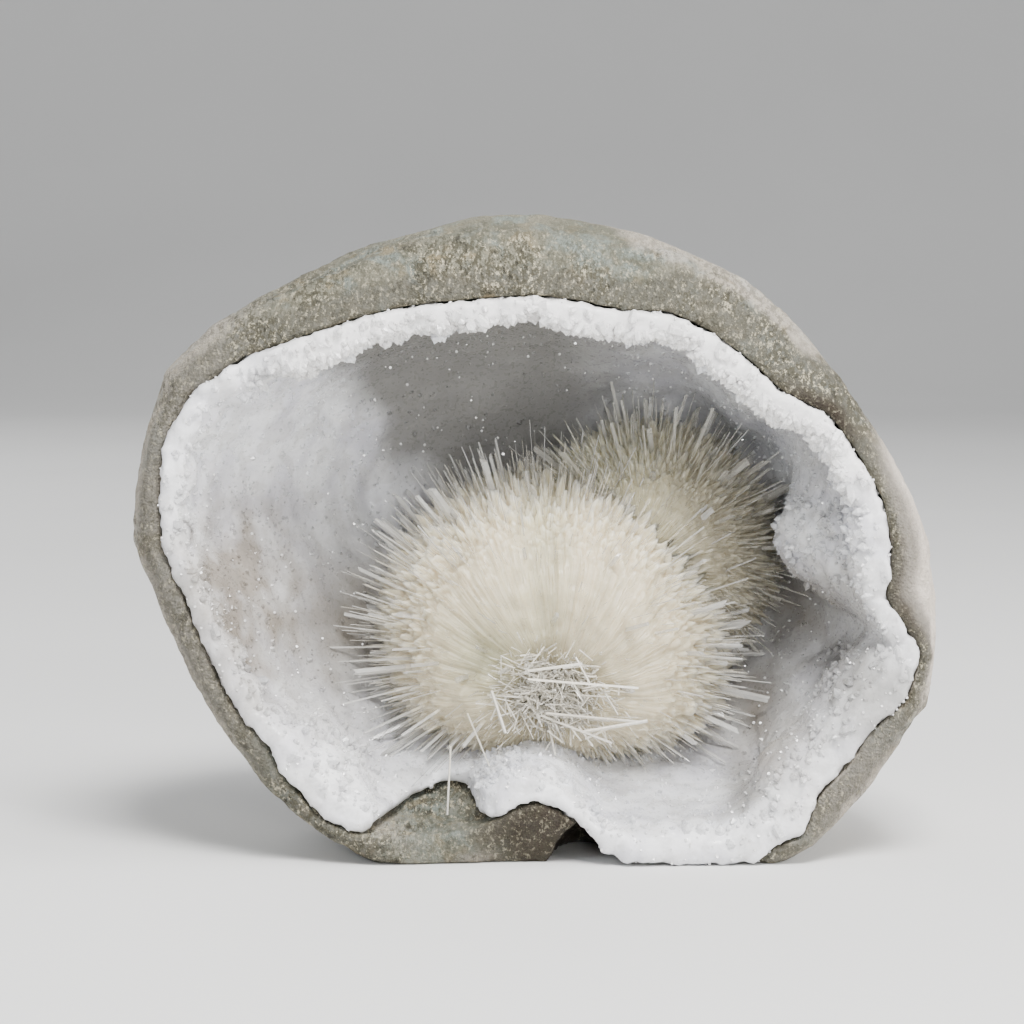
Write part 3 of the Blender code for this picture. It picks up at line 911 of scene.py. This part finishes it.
def needle_ball(name, ball, count, seed, lining_tree, materials, shaping, girths):
    """A ball of square scolecite needles. ball is its middle, reach, body and root, which is
    where the needles start. shaping gives each way's share of the reach, and its tone."""
    middle, reach, body, root = ball
    rand = np.random.default_rng(seed)
    ways = spread_directions(count, rand)
    room = room_along(middle, ways, reach * 1.1, lining_tree, rooted=0.3 * MM)
    share, tone = shaping(body, ways, rand)
    long = np.minimum(room, reach * share)
    keep = long > reach * 0.5  # the stumps are left out
    ways, long, tone = ways[keep], long[keep], tone[:, keep]
    count = len(ways)
    start = np.array(middle) + ways * (np.minimum(reach * root, long * 0.8))[:, None]
    start = start + rand.normal(size=start.shape) * 0.4 * MM
    end = np.array(middle) + ways * long[:, None] + rand.normal(size=start.shape) * 0.6 * MM
    axis = unit(end - start)
    side, other = frames_about(axis, rand)
    low, high = girths
    width = (low + (high - low) * rand.random(count) ** 5.0) * 1.4
    thick = width * rand.uniform(0.4, 1.0, count)
    glassy = len(materials) > 1
    stations = GLASSY_STATIONS if glassy else FINE_STATIONS
    rings = []
    for along, girth, _ in stations:
        centre = start + (end - start) * along
        rings.append(ring_about(centre, side, other, width * girth, thick * girth, NEEDLE_SIDES))
    slant = rand.uniform(-1.0, 1.0, count)[:, None] * axis * width[:, None] * 1.5
    rings[-1][:, 0] += slant
    rings[-1][:, 2] -= slant
    growth = np.tile(np.repeat([station[2] for station in stations], NEEDLE_SIDES), count)
    corners = NEEDLE_SIDES * len(stations)
    each = np.repeat(rand.random(count), corners)
    layers = [("growth", (growth, each)), ("tone", np.repeat(tone, corners, axis=1))]
    mesh, faces = joined_mesh(name, rings, True, layers)
    if glassy:
        lower = NEEDLE_SIDES + 1  # the end at the root and the sides up to the middle station
        index = np.tile([0] * lower + [1] * (faces - lower), count)
        mesh.polygons.foreach_set("material_index", index.astype(np.int32))
    return piece_of(name, mesh, materials)


def near_way(ways, aim, degrees):
    """1 along one way and soft within some degrees of it."""
    off = np.arccos(np.clip(ways @ np.array(aim), -1, 1)) / math.radians(degrees)
    return np.exp(-(off**2))


def valley_share(ways):
    """1 in the valley between the front ball's two lobes."""
    valley = np.exp(-((ways[:, 0] + 0.03) / 0.16) ** 2) * step(ways[:, 2], -0.1, 0.35)
    return valley * step(-ways[:, 1], -0.1, 0.5)


def front_body(ways):
    """The share of the front ball's reach that is grown solid, its green tone, and its painted
    shade
    in the crater and the fan: two lobes with a valley, a crater with a dip beside it, and a loose
    fan."""
    crater, dimple = near_way(ways, CRATER, 27), near_way(ways, DIMPLE, 15)
    share = 0.84 - 0.06 * valley_share(ways) - 0.26 * crater - 0.09 * dimple
    share -= 0.11 * near_way(ways, FAN, 38)
    low = step(-ways[:, 2], 0.25, 0.75) * (0.7 + 0.3 * step(ways[:, 0], 0.0, 0.35))
    share -= 0.20 * low * step(-ways[:, 1], -0.2, 0.3)
    green = np.clip(valley_share(ways) * 0.45 + crater * 0.3 + dimple * 0.9, 0, 1)
    # painted shade in the crater and the fan
    shade_and_dark_tone = np.clip(crater * 0.15 + near_way(ways, FAN, 45) * 0.15, 0, 1)
    return share, np.stack([green, shade_and_dark_tone])


def back_body(ways):
    """The share of the back ball's reach that is grown solid, and its tones: green, and painted
    shade darker on its right.
    """
    # painted shade, darker on the ball's right
    shade_and_dark_tone = 0.05 + 0.68 * step(ways[:, 0], -0.3, 0.7)
    share = 0.80 - 0.14 * step(-ways[:, 1], 0.0, 0.7)
    share -= 0.16 * step(ways @ np.array(FRONT_SIDE), 0.2, 0.9)
    return share, np.stack([np.full(len(ways), 0.6), shade_and_dark_tone])


def bunched(ways, scale):
    """Unevenness that neighbouring needles share."""
    return np.array([noise.noise(Vector(way) * scale) for way in ways])


def end_on(ways):
    """1 for the needles in the middle of the front, which the opening shows from their ends."""
    return step(-ways[:, 1], 0.35, 0.85)


def fuzz_shape(body, ways, rand):
    """Short fine needles that stand a little out of a ball's body."""
    share, tone = body(ways)
    spare = 0.02 + 0.17 * rand.random(len(ways)) ** 1.5 + bunched(ways, 5.0) * 0.05
    left_out = rand.random(len(ways)) < 0.7 * end_on(ways)
    return np.where(left_out, 0.0, share + spare * (1 - 0.6 * end_on(ways))), tone


def long_shape(body, ways, rand):
    """A ball's long clear needles: few in the middle of the front, most at its sides."""
    share, tone = body(ways)
    spare = 0.06 + 0.29 * rand.random(len(ways)) ** 1.7 + bunched(ways, 4.0) * 0.10
    left_out = rand.random(len(ways)) < 0.8 * end_on(ways)
    return np.where(left_out, 0.0, share + spare * (1 - 0.4 * end_on(ways))), tone * 0.5


def fan_shape(body, ways, rand):
    """The front ball's long clear needles, longest in its loose fan."""
    share, tone = long_shape(body, ways, rand)
    return share + 0.14 * near_way(ways, FAN, 38) * (share > 0), tone


def fibre_places(ways, aim):
    """Where each way lies round the aim, as a place that hardly changes along a fibre."""
    toward = ways @ np.array(aim)
    round_it = unit(ways - toward[:, None] * np.array(aim) + 1e-6)
    return (round_it + toward[:, None] * 0.12 * np.array(aim)).T


def body_share(body, ways):
    """The share of a ball's reach where its body ends, with a ragged edge at its sides."""
    share, tone = body(ways)
    share += bunched(ways, 14.0) * 0.012 + bunched(ways, 7.0) * 0.020
    share += np.maximum(bunched(ways, 34.0), 0) * 0.16 * (1 - end_on(ways))
    return share, tone


def ball_heart(material, lining_tree):
    """The milky bodies of the two balls, where the needles are grown solid."""
    shape = bmesh.new()
    tones, fibres = [], []
    for (middle, reach), body, aim in (
        (FRONT_BALL, front_body, CRATER), (BACK_BALL, back_body, BACK_AIM),
    ):
        made = bmesh.ops.create_icosphere(shape, subdivisions=7, radius=1.0)["verts"]
        ways = np.array([vertex.co.normalized() for vertex in made])
        share, tone = body_share(body, ways)
        tones.append(tone)
        fibres.append(fibre_places(ways, aim))
        room = room_along(middle, ways, reach, lining_tree, rooted=0.2 * MM)
        for vertex, way, length in zip(made, ways, np.minimum(room, reach * share)):
            vertex.co = middle + Vector(way) * length
    mesh = bpy.data.meshes.new("scolecite_heart")
    shape.to_mesh(mesh)
    shape.free()
    mesh.shade_smooth()
    paint(mesh, "growth", (0.3, 0.0))
    paint(mesh, "tone", np.concatenate(tones, axis=1))
    paint(mesh, "fibre", np.concatenate(fibres, axis=1))
    piece = piece_of("scolecite_heart", mesh, [material])
    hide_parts("scolecite_spray")
    return piece


def rods(name, ends, width, material, seed):
    """Straight square needles between pairs of places."""
    rand = np.random.default_rng(seed)
    start = np.array([pair[0] for pair in ends])
    end = np.array([pair[1] for pair in ends])
    axis = unit(end - start)
    side, other = frames_about(axis, rand)
    thick = width * rand.uniform(0.5, 1.0, len(ends))
    rings = [ring_about(centre, side, other, width, thick, NEEDLE_SIDES) for centre in (start, end)]
    growth = np.tile(np.repeat([0.3, 1.0], NEEDLE_SIDES), len(ends))
    corners = 2 * NEEDLE_SIDES
    each = np.repeat(rand.random(len(ends)), corners)
    # a random darker tone for some of the broken needles
    shade_and_dark_tone = np.repeat(rand.random(len(ends)) ** 2 * 0.6, corners)
    layers = [("growth", (growth, each)), ("tone", (0.15, shade_and_dark_tone))]
    mesh, _ = joined_mesh(name, rings, True, layers)
    return piece_of(name, mesh, [material])


def broken_needles(material):
    """The tuft in the front ball's crater: fine needles that fan out of it, short broken ones
    that lie crossed on them, and a few long ones that have fallen across."""
    rand = np.random.default_rng(31)
    ends = []
    width = []
    for _ in range(TUFT_FANNED):
        foot = np.array(TUFT) + (rand.normal(size=3) * (2.3, 1.0, 1.9) + (0, 3.0, 0)) * MM
        way = unit(rand.normal(size=(1, 3)) * (1.0, 0.5, 0.8) + (0.0, -0.9, 0.1))[0]
        ends.append((foot, foot + way * rand.uniform(2.0, 7.5) * MM))
        width.append(rand.uniform(0.045, 0.11))
    for _ in range(TUFT_CROSSED):
        spot = np.array(TUFT) + (rand.normal(size=3) * (3.3, 1.3, 2.3) + (0.6, -1.0, -0.6)) * MM
        way = unit(rand.normal(size=(1, 3)) * (1.0, 0.6, 0.6))[0]
        half = way * rand.uniform(0.5, 2.2) * MM
        ends.append((spot - half, spot + half))
        width.append(rand.uniform(0.045, 0.14))
    for first, second in FALLEN_NEEDLES:
        ends.append((np.array(first) * MM, np.array(second) * MM))
        width.append(rand.uniform(0.13, 0.21))
    return rods("scolecite_broken_needles", ends, np.array(width) * MM, material, 7)


# Stage, lights and camera

def stage():
    """A pale sheet that curves up behind the object."""
    shape = bmesh.new()
    back, bend, steps = 0.9, 0.5, 12
    profile = [(-2.0, 0.0), (back, 0.0)]
    for part in range(1, steps + 1):
        angle = part / steps * math.pi / 2
        profile.append((back + bend * math.sin(angle), bend - bend * math.cos(angle)))
    profile.append((back + bend, 3.0))
    rows = [[shape.verts.new((x, y, z)) for x in (-3.0, 3.0)] for y, z in profile]
    for lower, upper in zip(rows[:-1], rows[1:]):
        shape.faces.new((lower[0], lower[1], upper[1], upper[0]))
    mesh = bpy.data.meshes.new("floor")
    shape.to_mesh(mesh)
    shape.free()
    mesh.shade_smooth()
    floor = bpy.data.objects.new("floor", mesh)
    bpy.context.scene.collection.objects.link(floor)
    mesh.materials.append(floor_material())


def pointed(name, data, place, way):
    """A lamp or a camera at a place, pointed along a way."""
    item = bpy.data.objects.new(name, data)
    item.location = place
    item.rotation_euler = way.to_track_quat("-Z", "Y").to_euler()
    bpy.context.scene.collection.objects.link(item)
    return item


def area_light(name, place, size, power, colour):
    """A soft square light, turned to the object."""
    light = bpy.data.lights.new(name, "AREA")
    light.size = size
    light.energy = power
    light.color = colour
    pointed(name, light, place, LIT_PLACE - Vector(place))


def lights():
    """A key light above and in front, a fill from the left, small lights in front and for
    glints, softer ones from behind and from the right, and a dim room."""
    area_light("key", KEY_PLACE, 0.26, 9.0, (1.0, 0.99, 0.97))
    area_light("fill", (-0.60, -0.50, 0.30), 0.45, 2.2, (0.92, 0.95, 1.0))
    area_light("front", FRONT_PLACE, 0.12, 1.8, (1.0, 0.99, 0.97))
    area_light("glints", (0.30, -0.50, 0.30), 0.04, 0.8, (1.0, 1.0, 1.0))
    area_light("rear", (-0.35, 0.60, 0.55), 0.50, 3.0, (1.0, 1.0, 1.0))
    area_light("side", (0.50, -0.12, 0.22), 0.30, 3.2, (1.0, 0.99, 0.98))
    world = bpy.data.worlds.new("studio")
    bpy.context.scene.world = world
    world.use_nodes = True
    room = world.node_tree.nodes["Background"]
    room.inputs["Color"].default_value = (0.84, 0.86, 0.90, 1)
    room.inputs["Strength"].default_value = 0.28


def camera():
    """A long lens, level with the specimen and a little above it."""
    lens = bpy.data.cameras.new("camera")
    lens.sensor_width = SENSOR
    lens.lens = SENSOR * CAMERA_AWAY / FRAME_WIDTH
    lens.clip_start = 0.01
    back = Vector((0, -math.cos(CAMERA_RISE), math.sin(CAMERA_RISE)))
    bpy.context.scene.camera = pointed("camera", lens, AIM + back * CAMERA_AWAY, -back)


def light_paths():
    """Enough bounces for the milky needles and their clear tips."""
    cycles = bpy.context.scene.cycles
    cycles.max_bounces = 8
    cycles.diffuse_bounces = 3
    cycles.glossy_bounces = 3
    cycles.transmission_bounces = 6
    cycles.transparent_max_bounces = 24
    cycles.caustics_reflective = False
    cycles.caustics_refractive = False


def crystals(lining):
    """The quartz crystals on the walls and the rim, and the glints among them."""
    crystal = quartz_material("quartz_crystal", (214, 215, 220), rough=0.25, clear=0.15)
    for name, seed, left in (("quartz_points_left", 3, True), ("quartz_points_right", 4, False)):
        quartz_points(
            name, lining, WALL_POINTS, seed, wall_weight(left), crystal,
            width_range=(0.30 * MM, 1.10 * MM), length_range=(0.15, 0.45), tilt=0.22,
        )
    quartz_points(
        "quartz_rim_points", lining, RIM_POINTS, 5, rim_weight, crystal,
        width_range=(0.40 * MM, 1.25 * MM), length_range=(0.4, 1.1), tilt=0.38,
    )
    clear = quartz_material("quartz_glint", (226, 228, 232), rough=0.06, clear=0.2)
    quartz_glints(lining, GLINTS, 17, clear)


def scolecite(tree):
    """The two needle balls and the broken needles between them. tree is the lining's."""
    milky = needle_material("scolecite_milky", (216, 203, 174), (234, 225, 203), 0.40, milk=1.0)
    ball_heart(milky, tree)
    fuzz = needle_material("scolecite_fuzz", (224, 215, 191), (242, 236, 220), 0.35, faint=0.25)
    glassy = needle_material(
        "scolecite_glassy", (244, 241, 230), (250, 249, 245), 0.10, clear=0.6, faint=0.75
    )
    front, back = (*FRONT_BALL, front_body, 0.50), (*BACK_BALL, back_body, 0.55)
    fine, long = [fuzz], [fuzz, glassy]
    for name, ball, count, seed, materials, shaping, girths in (
        ("fuzz_front", front, FRONT_FUZZ, 21, fine, fuzz_shape, FUZZ_GIRTHS),
        ("fuzz_back", back, BACK_FUZZ, 22, fine, fuzz_shape, FUZZ_GIRTHS),
        ("needles_front", front, FRONT_LONG, 23, long, fan_shape, LONG_GIRTHS),
        ("needles_back", back, BACK_LONG, 24, long, long_shape, LONG_GIRTHS),
    ):
        needle_ball("scolecite_" + name, ball, count, seed, tree, materials, shaping, girths)
    white = needle_material("scolecite_broken", (238, 230, 213), (249, 245, 236), 0.20, clear=0.1)
    broken_needles(white)


def main():
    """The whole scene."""
    camera()
    stage()
    lights()
    light_paths()
    crust = quartz_material("quartz_crust", (206, 206, 214), rough=0.45, clear=0.0, grain=0.10 * MM)
    lining = quartz_lining(crust)
    lining_tree = tree_of(lining.data)
    basalt(lining_tree, basalt_material())
    crystals(lining)
    scolecite(lining_tree)


main()
